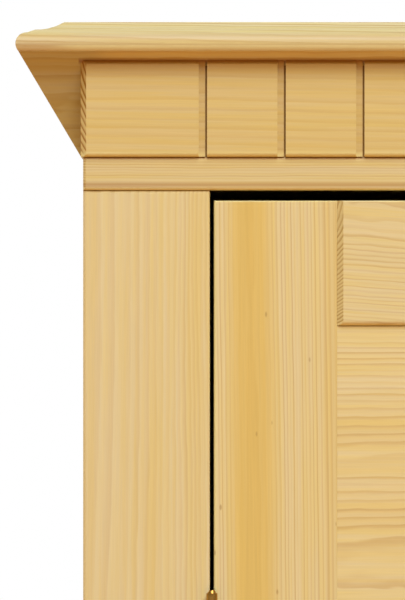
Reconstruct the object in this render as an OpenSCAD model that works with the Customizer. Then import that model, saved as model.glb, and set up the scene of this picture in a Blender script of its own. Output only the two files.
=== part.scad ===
// Pine display cabinet: two inset doors under a flared crown with a grooved frieze.
// Millimetres. X runs to the right, Y to the back and Z up. The origin is at floor level, in the
// middle of the overall box. A left-hand piece is drawn once, and mirrored for the right hand.

/* [Carcass] */
// Height from the floor to the top of the crown
total_h = 1800; // [1500:1:2100]
// Width across the carcass sides
carcass_w = 937; // [760:1:1200]
// Depth from the face of the frame to the back
carcass_d = 380; // [280:1:520]
// Thickness of the top panel and the bottom panel
panel_t = 18; // [16:0.5:28]
// Thickness of the side panels
side_t = 18; // [16:0.5:24]
// How far the top and bottom panels stand proud of the face frame
panel_proud = 1; // [0.5:0.1:6]
// Width of a face frame stile
face_stile_w = 68.5; // [50:0.5:90]
// Thickness of a face frame stile
face_stile_t = 20; // [18:0.5:30]
// Height of the plinth
plinth_h = 80; // [50:1:120]
// Thickness of the plinth boards
plinth_t = 18; // [15:0.5:24]
// Rounding of the front edges of the boards
edge_r = 1.6; // [0.5:0.1:3]

/* [Back] */
// Thickness of the back boards
back_t = 9; // [6:0.5:12]
// Number of back boards
back_count = 4; // [4:1:4]
// Length of a back board's tongue
back_tongue = 4; // [3:0.5:6]
// Width of the back rebate in the side panels
back_rebate = 9; // [6:0.5:11]
// Height of the wall fixing rail
fixing_rail_h = 60; // [40:1:90]
// Thickness of the wall fixing rail
fixing_rail_t = 18; // [15:0.5:24]
// Distance between the two wall fixing holes
fixing_pitch = 560; // [500:1:600]
// Diameter of a wall fixing hole
fixing_hole_d = 5; // [4:0.5:8]

/* [Crown] */
// Thickness of the crown board
crown_board_t = 16.3; // [14:0.1:20]
// Radius of the nose of the crown moulding
nose_r = 6.2; // [5:0.1:7]
// Height of the nose centre above the underside of the crown board
nose_lift = 3.9; // [3.3:0.1:4.8]
// Width of the crown moulding, from the nose to the flat top
moulding_w = 25.9; // [24:0.1:40]
// Width of the cove in the crown moulding
cove_w = 15.5; // [8:0.1:16]
// Depth of the cove in the crown moulding
cove_depth = 4.6; // [2:0.1:5.2]
// Extra overhang of the crown board in front, beyond its overhang at the sides
front_overhang = 7.7; // [0:0.1:15]
// Height of the flared part, from the top panel to the crown board
crown_rise = 57; // [50:0.5:90]
// How far the flared boards lean out from foot to head
crown_flare = 33.6; // [20:0.1:45]
// Thickness of the flared boards
flare_board_t = 15; // [12:0.5:20]
// Thickness of the back rail in the crown
crown_rail_t = 18; // [12:0.5:24]
// Size of the glue blocks in the crown
glue_block = 24; // [15:1:30]

/* [Frieze] */
// Height of the flared face left in view above the frieze
frieze_reveal = 5; // [2:0.1:12]
// Thickness of the frieze at its top edge
frieze_top_t = 2; // [1:0.1:3]
// How far the frieze stands proud of the top panel in front
frieze_proud = 2.2; // [1.5:0.1:5]
// How far the frieze stands proud of the top panel at both ends
frieze_lap = 1.3; // [0.5:0.1:5]
// Bevel of the ends of the frieze
frieze_bevel = 3; // [1:0.1:5]
// Rounding of the bottom edge of the frieze
frieze_foot_r = 2.2; // [0.5:0.1:4]
// Width of a groove in the frieze
groove_w = 4.5; // [3:0.1:8]
// Depth of a groove in the frieze
groove_depth = 1.6; // [0.6:0.1:1.8]
// Width of the deep slot along the right-hand side of each groove
slot_w = 1; // [0.6:0.1:2]
// Depth of the slot below the floor of its groove
slot_depth = 2; // [1:0.1:4]
// Distance from one groove to the next
groove_pitch = 42.5; // [25:0.5:80]
// Least distance from the end of the frieze to the middle of a groove
groove_margin = 50; // [20:1:100]

/* [Doors] */
// Thickness of the door frames
door_t = 20; // [18:0.5:20]
// Width of a door stile
door_stile_w = 66.6; // [50:0.1:80]
// Height of a top rail
top_rail_h = 67.5; // [50:0.5:100]
// Height of the two rails that border the glass
inner_rail_h = 67.5; // [50:0.5:100]
// Height of a bottom rail
bottom_rail_h = 90; // [60:0.5:140]
// Height of the upper wooden panel between its rails
upper_panel_h = 200; // [160:1:300]
// Height of the lower wooden panel between its rails
lower_panel_h = 300; // [160:1:400]
// Gap beside a door at its hinges
hinge_gap = 2.2; // [1.5:0.1:3]
// Gap between the two doors
meeting_gap = 2; // [1.8:0.1:4]
// Gap above the doors
top_gap = 5.7; // [2:0.1:7]
// Gap below the doors
bottom_gap = 3; // [2:0.1:6]
// How far the rails stand proud of the stiles and the wooden panels
rail_proud = 2; // [0.5:0.1:4]
// Width of the bevel at the ends of a rail, which slopes down to the stiles
rail_bevel_w = 3.3; // [1:0.1:6]
// Rounding of the edges of a rail that border a panel or the glass
rail_r = 2.7; // [1:0.1:4]
// Rounding of a stile's inner front edge
stile_inner_r = 0.4; // [0.2:0.1:1.6]
// How far a wooden panel lies behind the face of the stiles
panel_set = 0.2; // [0.1:0.1:3]
// Thickness of a wooden panel
door_panel_t = 15; // [13.5:0.1:17]
// Distance from the face of a door to its grooves and tenons
groove_set = 7; // [6:0.1:7.5]
// Thickness of the tongues and tenons
tongue_t = 6; // [4:0.1:6]
// Depth of the grooves for the wooden panels
panel_groove = 8; // [5:0.5:10]
// Room left for a wooden panel to swell
panel_play = 1; // [0.5:0.1:2]
// Joint left in view above and below a wooden panel
panel_joint = 0.3; // [0.1:0.1:1]
// Length of a tenon
tenon_l = 25; // [15:1:35]
// Room left at the end of a tenon
tenon_play = 1; // [0.5:0.1:3]

/* [Glass] */
// Thickness of the glass
glass_t = 4; // [3:0.5:5]
// Thickness of the wooden lip in front of the glass
glass_lip = 8; // [6:0.5:9]
// Width of the rebate for the glass
glass_rebate = 9; // [6:0.5:12]
// Room left around the glass
glass_play = 1; // [0.5:0.1:2]
// Gap at the mitres of the glazing beads
bead_joint = 0.2; // [0.1:0.1:0.5]

/* [Knobs] */
// How far a knob stands out from its door
knob_l = 28; // [26:0.5:34]
// Diameter of the knob's head
knob_d = 32; // [28:1:38]
// Diameter of the knob's foot
knob_foot_d = 22; // [20:1:26]
// Height of the knobs above the bottom edge of the doors
knob_z = 800; // [600:1:1000]
// Diameter of the knob's screw
knob_screw_d = 4; // [3:0.5:5]

/* [Hinges] */
// Length of a hinge
hinge_l = 76; // [60:1:100]
// Radius of a hinge knuckle
knuckle_r = 3; // [2.8:0.1:4]
// Diameter of a hinge pin
hinge_pin_d = 3; // [2.5:0.1:3.2]
// Thickness of a hinge leaf
leaf_t = 1.2; // [1:0.1:1.5]
// Depth of a hinge leaf, from the face of the door inwards
leaf_d = 16; // [12:0.5:17]
// Distance from the ends of a door to the middle of its outer hinges
hinge_inset = 250; // [200:1:300]
// Diameter of a hinge screw
hinge_screw_d = 3.5; // [3:0.1:4]
// Length of a hinge screw
hinge_screw_l = 18; // [12:1:25]

/* [Shelves] */
// Number of shelves
shelf_count = 4; // [4:1:4]
// Thickness of a shelf
shelf_t = 18; // [15:0.5:25]
// Distance from the back of the doors to the front of the shelves
shelf_set = 14; // [8:1:40]
// Gap between a shelf and the sides and back
shelf_gap = 1; // [0.5:0.1:2]
// Diameter of a shelf pin
shelf_pin_d = 5; // [4:0.5:7]
// Distance from a shelf's front or back edge to its pins
shelf_pin_inset = 50; // [30:1:90]
// Distance between neighbouring shelf pin holes
shelf_pin_pitch = 32; // [25:1:50]

/* [Catches and dowels] */
// Width of a magnetic catch
catch_w = 40; // [30:1:50]
// Height of a magnetic catch
catch_h = 16; // [14:0.5:20]
// Depth of a magnetic catch
catch_d = 14; // [12:0.5:20]
// Distance from the middle of the cabinet to the middle of a catch
catch_x = 34; // [32:1:60]
// Thickness of the steel plate that meets a catch
plate_t = 1.2; // [0.8:0.1:2]
// Diameter of a dowel
dowel_d = 8; // [6:0.5:10]
// Length of a dowel
dowel_l = 30; // [25:1:40]
// How deep a dowel goes into the top or bottom panel
dowel_bite = 12; // [8:0.5:14]

/* [Hidden] */
$fn = 64;

// Colours of the materials
pine = "#dfbf83";
pine_dark = "#c89f60";
inner_pine = "#d8b87e";
brass = "#b58d3d";
steel = "#b9bcc0";
plastic = "#efeadd";
clear = [0.75, 0.88, 0.88, 0.35];

// Clearances
run_fit = 0.05;    // radial room of a pin, a dowel or a screw in its hole
swing_fit = 0.3;   // room between pieces that pass each other as a door swings
over = 1;          // how far a cutting tool reaches past the face that it cuts
LEFT = -1;
RIGHT = 1;

// Front to back: the overall box runs from the front of the knobs to the back boards
face_y = (knob_l - carcass_d) / 2;
back_y = (knob_l + carcass_d) / 2;
panel_front_y = face_y - panel_proud;
side_front_y = face_y + face_stile_t;
back_board_y = back_y - back_t;

// Heights of the main parts
crown_head_z = total_h - crown_board_t;
crown_foot_z = crown_head_z - crown_rise;
ceiling_z = crown_foot_z - panel_t;
floor_z = plinth_h + panel_t;
inside_h = ceiling_z - floor_z;

// Side to side
half_w = carcass_w / 2;
inside_half_w = half_w - side_t;
opening_half_w = half_w - face_stile_w;

// Crown: the flared boards lean out by the same run in front and at the sides, so they mitre at 45 degrees
flare_angle = atan(crown_flare / crown_rise);
flare_level_t = flare_board_t / cos(flare_angle);
frieze_h = crown_rise - frieze_reveal;
frieze_top_flat = 0.2;
frieze_front_y = panel_front_y - frieze_proud;
frieze_top_y = frieze_front_y + frieze_top_t;
crown_head_y = frieze_top_y - crown_flare * frieze_reveal / crown_rise;
crown_foot_y = crown_head_y + crown_flare;
crown_foot_x = half_w + frieze_lap;
crown_head_x = crown_foot_x + crown_flare;
mitre_run = crown_flare + flare_level_t + over;
nose_out = nose_r - sqrt(nose_r * nose_r - nose_lift * nose_lift);
crown_half_w = crown_head_x + nose_out;
crown_front_y = crown_head_y - nose_out - front_overhang;
cove_r = (cove_w * cove_w + cove_depth * cove_depth) / (2 * cove_depth);
frieze_w = 2 * crown_foot_x;
groove_count = floor((frieze_w - 2 * groove_margin) / groove_pitch) + 1;
first_groove_x = -(groove_count - 1) * groove_pitch / 2;
glue_block_l = 60;
glue_block_places = [0.35, 0.7];

// Back boards
back_w = 2 * (half_w - side_t + back_rebate);
back_board_w = back_w / back_count;
back_tongue_t = back_t / 3;
fixing_z = ceiling_z - fixing_rail_h / 2;

// Doors, in a door's own frame: X from its hinge edge, Y from its face and Z from its bottom edge
door_w = (2 * opening_half_w - 2 * hinge_gap - meeting_gap) / 2;
door_h = inside_h - top_gap - bottom_gap;
door_x = -opening_half_w + hinge_gap;
door_z = floor_z + bottom_gap;
rail_l = door_w - 2 * door_stile_w;
rail_t = door_t + rail_proud;
lower_panel_z = bottom_rail_h;
lower_rail_z = lower_panel_z + lower_panel_h;
glass_z = lower_rail_z + inner_rail_h;
top_rail_z = door_h - top_rail_h;
upper_panel_z = top_rail_z - upper_panel_h;
upper_rail_z = upper_panel_z - inner_rail_h;
glass_h = upper_rail_z - glass_z;
tenon_shoulder = max(panel_groove, glass_rebate) + 2;
bead_t = door_t - glass_lip - glass_t;
knob_x = door_w - door_stile_w / 2;
knob_neck_r = 7;
knob_rim_r = 6;
knob_dome_r = 60;
knob_dome_rise = 1;
knob_foot_edge = 2;
knob_tip_room = 2;
knob_hole_l = 14;
knob_screw_head_h = 2.4;

// Hinges: the pins stand in front of the face, in the middle of the gap
pin_r = hinge_pin_d / 2;
pin_x = -opening_half_w + hinge_gap / 2;
pin_y = face_y - knuckle_r - swing_fit;
leaf_near = swing_fit / 2;
leaf_far = leaf_near + leaf_t;
hinge_heights = [door_z + hinge_inset, door_z + door_h / 2, door_z + door_h - hinge_inset];
knuckle_l = (hinge_l - 2 * swing_fit) / 3;
screw_r = hinge_screw_d / 2;
screw_head_r = screw_r + leaf_t;
hinge_screw_y = face_y + leaf_d / 2;
hinge_screw_inset = 12;
hinge_screw_spread = hinge_l / 2 - hinge_screw_inset;

// Shelves and their pins
shelf_front_y = face_y + door_t + shelf_set;
shelf_back_y = back_board_y - shelf_gap;
shelf_half_w = inside_half_w - shelf_gap;
bay_h = (inside_h - shelf_count * shelf_t) / (shelf_count + 1);
pin_hole_depth = 10;
pin_plate_l = 9;
pin_plate_t = 1.6;
shelf_pin_rows = [shelf_front_y + shelf_pin_inset, shelf_back_y - shelf_pin_inset];
shelf_pin_r = shelf_pin_d / 2;

// Catches and dowels
catch_y = face_y + door_t + plate_t + swing_fit;
catch_ear_w = 9;
catch_ear_t = 3;
catch_ear_set = 2;
catch_screw_r = 1.5;
catch_screw_l = 12;
plate_h = 12;
plate_drop = 2;
plate_top = ceiling_z - top_gap - plate_drop;
dowel_r = dowel_d / 2;
dowel_x = half_w - side_t / 2;
dowel_inset = 40;
dowel_rows = [side_front_y + dowel_inset, (side_front_y + back_board_y) / 2, back_board_y - dowel_inset];
dowel_play = 1;

function shelf_z(i) = floor_z + i * bay_h + (i - 1) * shelf_t;
function pin_hole_z(i) = shelf_z(i) - pin_plate_t - shelf_pin_r;

// Left-hand pieces as they are, and right-hand pieces as their mirror image
module on_side(side) {
    if (side == LEFT) children();
    else mirror([1, 0, 0]) children();
}

// What a rounding takes off a corner at the origin
module corner_waste(r) {
    difference() {
        translate([-over, -over]) square(r + over);
        translate([r, r]) circle(r);
    }
}

// A board's section with both front corners rounded, its face on the X axis
module plan_section(w, t, left_r, right_r) {
    difference() {
        square([w, t]);
        corner_waste(left_r);
        translate([w, 0]) mirror([1, 0]) corner_waste(right_r);
    }
}

// A board's upright section, from its face back along X, with both front corners rounded
module side_section(t, h, bottom_r, top_r) {
    difference() {
        square([t, h]);
        corner_waste(bottom_r);
        translate([0, h]) mirror([0, 1]) corner_waste(top_r);
    }
}

// Sweeps a Y and Z section along X
module along_x(length) {
    rotate([90, 0, 90]) linear_extrude(length) children();
}

// Sweeps an X and Z section towards the front, from Y = 0
module towards_front(length) {
    rotate([90, 0, 0]) linear_extrude(length) children();
}

// A board whose four front edges are rounded, its face at Y = 0 and its lower left corner at the origin
module eased_board(w, h, t, left_r, right_r, bottom_r, top_r) {
    intersection() {
        linear_extrude(h) plan_section(w, t, left_r, right_r);
        along_x(w) side_section(t, h, bottom_r, top_r);
    }
}

// Section of the crown board's edge: nose at X = 0, cove behind it, then flat back to X = length
module crown_edge(length) {
    cove_x = moulding_w - cove_w;
    cove_z = crown_board_t - cove_depth;
    intersection() {
        translate([nose_r, nose_lift]) circle(nose_r);
        square([2 * nose_r, crown_board_t]);
    }
    difference() {
        polygon([[nose_r, 0], [length, 0], [length, crown_board_t], [moulding_w, crown_board_t],
            [cove_x, cove_z], [nose_r, nose_lift + nose_r]]);
        translate([cove_x, cove_z + cove_r]) circle(cove_r, $fn = 192);
    }
}

// The moulded edge runs along the front and both sides, and meets itself in mitres
module crown_top_board() {
    depth = back_y - crown_front_y;
    color(pine)
    translate([0, 0, crown_head_z])
    intersection() {
        translate([-crown_half_w, crown_front_y, 0]) along_x(2 * crown_half_w) crown_edge(depth);
        translate([0, back_y, 0]) towards_front(depth) {
            for (side = [LEFT, RIGHT])
                mirror([side == RIGHT ? 1 : 0, 0]) translate([-crown_half_w, 0]) crown_edge(crown_half_w + over);
        }
    }
}

// Section of a flared board, its outer foot at the origin and leaning out towards minus X
module flare_section() {
    polygon([[0, 0], [-crown_flare, crown_rise], [flare_level_t - crown_flare, crown_rise], [flare_level_t, 0]]);
}

module crown_front_flare() {
    color(pine_dark)
    intersection() {
        translate([-crown_head_x, crown_foot_y, crown_foot_z]) along_x(2 * crown_head_x) flare_section();
        translate([0, crown_head_y, crown_foot_z]) linear_extrude(crown_rise)
            polygon([[-crown_head_x, 0], [crown_head_x, 0],
                [crown_head_x - mitre_run, mitre_run], [mitre_run - crown_head_x, mitre_run]]);
    }
}

module crown_side_flare(side) {
    depth = back_y - crown_head_y;
    color(pine_dark)
    on_side(side)
    intersection() {
        translate([-crown_foot_x, back_y, crown_foot_z]) towards_front(depth) flare_section();
        translate([-crown_head_x, crown_head_y, crown_foot_z]) linear_extrude(crown_rise)
            polygon([[0, 0], [mitre_run, mitre_run], [mitre_run, depth], [0, depth]]);
    }
}

// Rail between the side flares at the back, with its ends cut to their slope
module crown_back_rail() {
    foot = crown_foot_x - flare_level_t;
    head = foot + crown_flare;
    color(inner_pine)
    translate([0, back_y, crown_foot_z]) towards_front(crown_rail_t)
        polygon([[-foot, 0], [foot, 0], [head, crown_rise], [-head, crown_rise]]);
}

// Section of a glue block in the sharp corner between a flared board and the crown board
module glue_block_section() {
    lean = glue_block * tan(flare_angle);
    polygon([[flare_level_t - crown_flare, crown_rise], [flare_level_t - crown_flare + glue_block, crown_rise],
        [flare_level_t - crown_flare + lean, crown_rise - glue_block]]);
}

module crown_glue_blocks() {
    spread = half_w / 2;
    color(inner_pine) {
        for (x = [-1.5 : 1 : 1.5])
            translate([x * spread - glue_block_l / 2, crown_foot_y, crown_foot_z])
                along_x(glue_block_l) glue_block_section();
        for (side = [LEFT, RIGHT], share = glue_block_places)
            on_side(side)
                translate([-crown_foot_x, crown_foot_y + share * (back_y - crown_foot_y), crown_foot_z])
                    towards_front(glue_block_l) glue_block_section();
    }
}

// A board's section with a bevel of width w and depth d at both ends of its face
module bevelled_plan(length, t, w, d) {
    polygon([[0, d], [w, 0], [length - w, 0], [length, d], [length, t], [0, t]]);
}

// The frieze is planed on its back to the slope of the flared front board. Its face has a bevel along the
// top, a rounding along the bottom, and grooves with a deep slot along their right-hand side.
module frieze_board() {
    foot_t = crown_foot_y - frieze_front_y;
    top_bevel = frieze_top_t - frieze_top_flat;
    color(pine)
    translate([-crown_foot_x, frieze_front_y, crown_foot_z])
    difference() {
        intersection() {
            linear_extrude(frieze_h) bevelled_plan(frieze_w, foot_t, frieze_bevel, frieze_bevel);
            along_x(frieze_w) difference() {
                polygon([[0, 0], [foot_t, 0], [frieze_top_t, frieze_h], [top_bevel, frieze_h],
                    [0, frieze_h - top_bevel]]);
                corner_waste(frieze_foot_r);
            }
        }
        for (i = [0 : groove_count - 1])
            translate([crown_foot_x + first_groove_x + i * groove_pitch - groove_w / 2, -over, -over]) {
                cube([groove_w, groove_depth + over, frieze_h + 2 * over]);
                translate([groove_w - slot_w, 0, 0])
                    cube([slot_w, groove_depth + slot_depth + over, frieze_h + 2 * over]);
            }
    }
}

// Dowel holes through the joint between a side panel and the top and bottom panels
module dowel_holes() {
    for (side = [LEFT, RIGHT], y = dowel_rows) {
        translate([side * dowel_x, y, ceiling_z + dowel_bite + dowel_play - dowel_l - 2 * dowel_play])
            cylinder(r = dowel_r + run_fit, h = dowel_l + 2 * dowel_play);
        translate([side * dowel_x, y, floor_z - dowel_bite - dowel_play])
            cylinder(r = dowel_r + run_fit, h = dowel_l + 2 * dowel_play);
    }
}

module carcass_dowels() {
    color(pine_dark)
    for (side = [LEFT, RIGHT], y = dowel_rows) {
        translate([side * dowel_x, y, ceiling_z + dowel_bite - dowel_l]) cylinder(r = dowel_r, h = dowel_l);
        translate([side * dowel_x, y, floor_z - dowel_bite]) cylinder(r = dowel_r, h = dowel_l);
    }
}

// A top or bottom panel, from its rounded front edge to the back
module carcass_panel(z) {
    color(pine)
    difference() {
        translate([-half_w, panel_front_y, z])
            eased_board(carcass_w, panel_t, back_y - panel_front_y, edge_r, edge_r, edge_r, edge_r);
        dowel_holes();
        catch_screw_holes();
    }
}

module top_panel() {
    carcass_panel(ceiling_z);
}

module bottom_panel() {
    carcass_panel(plinth_h);
}

// Side panel with its back rebate, its shelf pin holes and its dowel holes
module side_panel(side) {
    color(inner_pine)
    difference() {
        on_side(side) difference() {
            translate([-half_w, side_front_y, floor_z]) cube([side_t, back_y - side_front_y, inside_h]);
            translate([-inside_half_w - back_rebate, back_board_y, floor_z - over])
                cube([back_rebate + over, back_t + over, inside_h + 2 * over]);
            for (i = [1 : shelf_count], y = shelf_pin_rows, step = [-1 : 1])
                translate([-inside_half_w + over, y, pin_hole_z(i) + step * shelf_pin_pitch])
                    rotate([0, -90, 0]) cylinder(r = shelf_pin_r + run_fit, h = pin_hole_depth + over);
        }
        dowel_holes();
    }
}

// Face frame stile, let in on its inner edge for the hinge leaves
module face_stile(side) {
    color(pine)
    on_side(side)
    difference() {
        translate([-half_w, face_y, floor_z])
            eased_board(face_stile_w, inside_h, face_stile_t, edge_r, edge_r, edge_r, edge_r);
        translate([pin_x - leaf_far, 0, 0]) leaf_recesses();
        translate([pin_x - leaf_near, 0, 0]) mirror([1, 0, 0]) hinge_screw_holes();
    }
}

// Boxes that a hinge leaf needs in the edge of its board, running towards plus X
module leaf_recesses() {
    for (z = hinge_heights)
        translate([0, face_y - over, z - hinge_l / 2])
            cube([leaf_far + over, leaf_d + over, hinge_l]);
}

// Places children at each hinge screw of one leaf, along all the hinges of a door
module at_hinge_screws() {
    for (z = hinge_heights, step = [-1 : 1])
        translate([0, hinge_screw_y, z + step * hinge_screw_spread]) children();
}

// Holes for the hinge screws, whose heads lie at X = 0 and whose points lie towards plus X
module hinge_screw_holes() {
    at_hinge_screws() rotate([0, 90, 0]) {
        cylinder(r = screw_r + run_fit, h = hinge_screw_l + run_fit);
        translate([0, 0, -run_fit]) cylinder(r1 = screw_head_r + run_fit, r2 = screw_r + run_fit, h = leaf_t + run_fit);
    }
}

// Countersunk hinge screws, lying as their holes do
module hinge_screws() {
    at_hinge_screws() rotate([0, 90, 0]) {
        cylinder(r = screw_r, h = hinge_screw_l);
        cylinder(r1 = screw_head_r, r2 = screw_r, h = leaf_t);
    }
}

// Knuckles of one leaf: the frame carries the outer two thirds, and the door the middle third
module knuckles(thirds) {
    for (z = hinge_heights, third = thirds)
        translate([pin_x, pin_y, z - hinge_l / 2 + third * (knuckle_l + swing_fit)])
            cylinder(r = knuckle_r, h = knuckle_l);
}

// One leaf of each hinge, with its knuckles, before boring. near and far are measured from the pin.
module leaf_blanks(near, thirds) {
    knuckles(thirds);
    for (z = hinge_heights) {
        translate([pin_x + near, face_y, z - hinge_l / 2]) cube([leaf_t, leaf_d, hinge_l]);
        for (third = thirds)
            translate([pin_x + near, pin_y, z - hinge_l / 2 + third * (knuckle_l + swing_fit)])
                cube([leaf_t, face_y - pin_y + over, knuckle_l]);
    }
}

module pin_holes() {
    for (z = hinge_heights)
        translate([pin_x, pin_y, z - hinge_l / 2 - over]) cylinder(r = pin_r + run_fit, h = hinge_l + 2 * over);
}

module frame_hinge_leaves() {
    color(brass)
    for (side = [LEFT, RIGHT])
        on_side(side) difference() {
            leaf_blanks(-leaf_far, [0, 2]);
            pin_holes();
            translate([pin_x - leaf_near, 0, 0]) mirror([1, 0, 0]) hinge_screw_holes();
        }
}

module door_hinge_leaves(side) {
    color(brass)
    on_side(side) difference() {
        leaf_blanks(leaf_near, [1]);
        pin_holes();
        translate([pin_x + leaf_near, 0, 0]) hinge_screw_holes();
    }
}

// Loose pins with a small head at each end
module hinge_pins() {
    head_h = 1.6;
    head_r = pin_r + 1;
    color(brass)
    for (side = [LEFT, RIGHT], z = hinge_heights)
        on_side(side) translate([pin_x, pin_y, z - hinge_l / 2]) {
            cylinder(r = pin_r, h = hinge_l);
            translate([0, 0, hinge_l]) cylinder(r1 = head_r, r2 = pin_r, h = head_h);
            translate([0, 0, -head_h]) cylinder(r1 = pin_r, r2 = head_r, h = head_h);
        }
}

// Tongue and groove back boards, counted from the left
module back_board(i) {
    x = -back_w / 2 + i * back_board_w;
    first = i == 0;
    last = i == back_count - 1;
    groove_y = back_board_y + back_tongue_t;
    color(inner_pine)
    translate([0, 0, floor_z])
    difference() {
        union() {
            translate([x, back_board_y, 0]) cube([back_board_w, back_t, inside_h]);
            if (!last)
                translate([x + back_board_w - over, groove_y, 0])
                    cube([back_tongue + over, back_tongue_t, inside_h]);
        }
        if (!first)
            translate([x - over, groove_y, -over])
                cube([back_tongue + panel_joint + over, back_tongue_t, inside_h + 2 * over]);
        translate([0, 0, -floor_z]) fixing_holes();
    }
}

// Holes for the two screws that hold the cabinet to a wall
module fixing_holes() {
    for (side = [LEFT, RIGHT])
        translate([side * fixing_pitch / 2, back_y + over, fixing_z])
            rotate([90, 0, 0]) cylinder(d = fixing_hole_d, h = back_t + fixing_rail_t + 2 * over);
}

module wall_fixing_rail() {
    color(inner_pine)
    difference() {
        translate([-inside_half_w, back_board_y - fixing_rail_t, ceiling_z - fixing_rail_h])
            cube([2 * inside_half_w, fixing_rail_t, fixing_rail_h]);
        fixing_holes();
    }
}

// The plinth front runs across, with the sides and back butted between
module plinth_front() {
    color(pine)
    translate([-half_w, face_y, 0])
        eased_board(carcass_w, plinth_h, plinth_t, edge_r, edge_r, edge_r, edge_r);
}

module plinth_side(side) {
    color(pine)
    on_side(side)
        translate([-half_w, face_y + plinth_t, 0]) cube([plinth_t, back_y - face_y - plinth_t, plinth_h]);
}

module plinth_back() {
    color(inner_pine)
    translate([plinth_t - half_w, back_y - plinth_t, 0])
        cube([carcass_w - 2 * plinth_t, plinth_t, plinth_h]);
}

module shelf(i) {
    color(inner_pine)
    translate([-shelf_half_w, shelf_front_y, shelf_z(i)])
        eased_board(2 * shelf_half_w, shelf_t, shelf_back_y - shelf_front_y, edge_r, edge_r, edge_r, edge_r);
}

// Shelf pins: a round shank in the side panel and a flat plate under the shelf
module shelf_pins() {
    color(steel)
    for (side = [LEFT, RIGHT], i = [1 : shelf_count], y = shelf_pin_rows)
        on_side(side) translate([-inside_half_w, y, pin_hole_z(i)]) {
            translate([over - pin_hole_depth, 0, 0]) rotate([0, 90, 0])
                cylinder(r = shelf_pin_r, h = pin_hole_depth + pin_plate_l / 2);
            translate([0, -shelf_pin_d, shelf_pin_r - over])
                cube([pin_plate_l, 2 * shelf_pin_d, pin_plate_t + over]);
        }
}

// Screw places of the two catches, in their ears
module at_catch_screws() {
    for (side = [LEFT, RIGHT], ear = [-1, 1])
        translate([side * catch_x + ear * (catch_w / 2 - catch_ear_w / 2), catch_y + catch_d / 2, ceiling_z])
            children();
}

module catch_screw_holes() {
    at_catch_screws() translate([0, 0, -over])
        cylinder(r = catch_screw_r + run_fit, h = catch_screw_l - catch_ear_t + over + run_fit);
}

module magnetic_catches() {
    color(plastic)
    for (side = [LEFT, RIGHT])
        translate([side * catch_x - catch_w / 2, catch_y, ceiling_z]) difference() {
            union() {
                translate([0, catch_ear_set, -catch_ear_t])
                    cube([catch_w, catch_d - 2 * catch_ear_set, catch_ear_t]);
                translate([catch_ear_w, 0, -catch_h]) cube([catch_w - 2 * catch_ear_w, catch_d, catch_h]);
            }
            for (x = [catch_ear_w / 2, catch_w - catch_ear_w / 2])
                translate([x, catch_d / 2, -catch_h]) cylinder(r = catch_screw_r + run_fit, h = catch_h + over);
        }
}

// Screws of the frame: the hinge screws in both face stiles, and the catch screws from below
module frame_screws() {
    head_h = 1.5;
    color(steel) {
        for (side = [LEFT, RIGHT])
            on_side(side) translate([pin_x - leaf_near, 0, 0]) mirror([1, 0, 0]) hinge_screws();
        at_catch_screws() {
            translate([0, 0, -catch_ear_t]) cylinder(r = catch_screw_r, h = catch_screw_l);
            translate([0, 0, -catch_ear_t - head_h])
                cylinder(r1 = catch_screw_r + over, r2 = 2 * catch_screw_r, h = head_h);
        }
    }
}

// Places children in a door's own frame
module in_door(side) {
    on_side(side) translate([door_x, face_y, door_z]) children();
}

// Cuts in the inner edge of a left-hand stile, at X = door_stile_w: grooves, glass rebate and mortises
module stile_edge_cuts() {
    for (opening = [[lower_panel_z, lower_panel_h], [upper_panel_z, upper_panel_h]])
        translate([door_stile_w - panel_groove, groove_set, opening[0] - panel_groove])
            cube([panel_groove + over, tongue_t, opening[1] + 2 * panel_groove]);
    translate([door_stile_w - glass_rebate, glass_lip, glass_z - glass_rebate])
        cube([glass_rebate + over, door_t, glass_h + 2 * glass_rebate]);
    for (rail = [[0, bottom_rail_h], [lower_rail_z, inner_rail_h], [upper_rail_z, inner_rail_h],
            [top_rail_z, top_rail_h]])
        translate([door_stile_w - tenon_l - tenon_play, groove_set, rail[0] + tenon_shoulder])
            cube([tenon_l + tenon_play + over, tongue_t, rail[1] - 2 * tenon_shoulder]);
}

module stile_blank() {
    eased_board(door_stile_w, door_h, door_t, edge_r, stile_inner_r, edge_r, edge_r / 2);
}

module door_hinge_stile(side) {
    color(pine)
    on_side(side) difference() {
        translate([door_x, face_y, door_z]) difference() {
            stile_blank();
            stile_edge_cuts();
        }
        translate([pin_x + leaf_far, 0, 0]) mirror([1, 0, 0]) leaf_recesses();
        translate([pin_x + leaf_near, 0, 0]) hinge_screw_holes();
    }
}

// Countersunk hole for the knob's screw, from the back of the door
module knob_screw_hole() {
    head_r = knob_screw_d / 2 + knob_screw_head_h;
    translate([knob_x, door_t + run_fit, knob_z]) rotate([90, 0, 0]) {
        cylinder(r1 = head_r + run_fit, r2 = knob_screw_d / 2 + run_fit, h = knob_screw_head_h + run_fit);
        cylinder(r = knob_screw_d / 2 + run_fit, h = door_t + over);
    }
}

module door_meeting_stile(side) {
    color(pine)
    in_door(side) difference() {
        translate([door_w, 0, 0]) mirror([1, 0, 0]) difference() {
            stile_blank();
            stile_edge_cuts();
        }
        knob_screw_hole();
        plate_screw_hole();
    }
}

// Rounding of a rail's edge, 0 below and 1 above: larger where it borders a panel or the glass
function rail_edge_r(edge, inner) = len(search(edge, inner)) > 0 ? rail_r : edge == 1 ? edge_r / 2 : edge_r;

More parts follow.
